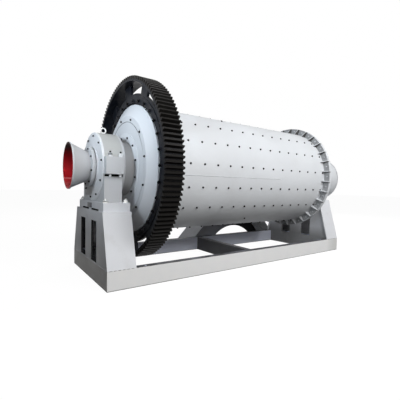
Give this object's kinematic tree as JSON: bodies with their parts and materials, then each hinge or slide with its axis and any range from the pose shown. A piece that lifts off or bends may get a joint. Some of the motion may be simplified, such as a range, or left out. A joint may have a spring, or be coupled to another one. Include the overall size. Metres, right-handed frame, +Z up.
{
  "type": "ball mill",
  "caption": "Horizontal ball mill: a bolted drum with a toothed girth gear turns on trunnion bearings over a welded base frame, fed and emptied through flared horns.",
  "frame": {"origin": "on the floor, in the middle of the four anchor holes, under the middle of the base frame", "axes": "+X along the drum from the feed end to the discharge end, +Z up, -Y the front"},
  "size_m": [4.741, 2.1648, 2.328],
  "materials": {
    "drum_grey": "satin",
    "frame_grey": "satin",
    "bearing_grey": "satin",
    "gear_black": "satin",
    "horn_red": "satin",
    "dark_steel": "matte",
    "zinc_steel": "satin"
  },
  "bodies": {
    "frame": {"cross_beam": "frame_grey", "discharge_bearing_base": "bearing_grey", "discharge_bearing_bush": "dark_steel", "discharge_bearing_cap": "bearing_grey", "discharge_end_beam": "frame_grey", "discharge_front_plate": "frame_grey", "discharge_inner_beam": "frame_grey", "discharge_inner_cover": "bearing_grey", "discharge_inner_plate": "frame_grey", "discharge_outer_cover": "bearing_grey", "discharge_rear_plate": "frame_grey", "discharge_slotted_plate": "frame_grey", "discharge_sole_block": "frame_grey", "discharge_top_plate": "frame_grey", "feed_bearing_base": "bearing_grey", "feed_bearing_bush": "dark_steel", "feed_bearing_cap": "bearing_grey", "feed_end_beam": "frame_grey", "feed_front_plate": "frame_grey", "feed_inner_beam": "frame_grey", "feed_inner_cover": "bearing_grey", "feed_inner_plate": "frame_grey", "feed_outer_cover": "bearing_grey", "feed_rear_plate": "frame_grey", "feed_slotted_plate": "frame_grey", "feed_sole_block": "frame_grey", "feed_top_plate": "frame_grey", "front_rail": "frame_grey", "rear_rail": "frame_grey", "seat_discharge_leg": "frame_grey", "seat_feed_leg": "frame_grey", "seat_top": "frame_grey", "seat_web": "frame_grey"},
    "rotor": {"drum_shell": "drum_grey", "gear_flange": "gear_black", "girth_gear": "gear_black", "feed_head": "drum_grey", "discharge_head": "drum_grey", "discharge_flange": "drum_grey", "feed_trunnion": "drum_grey", "discharge_trunnion": "drum_grey", "feed_horn": "horn_red", "discharge_horn": "drum_grey"}
  },
  "joints": [
    {"name": "drum_spin", "type": "hinge", "parent": "frame", "child": "rotor", "pos_m": [0, 0, 1.254], "axis": [1, 0, 0], "continuous": true}
  ]
}
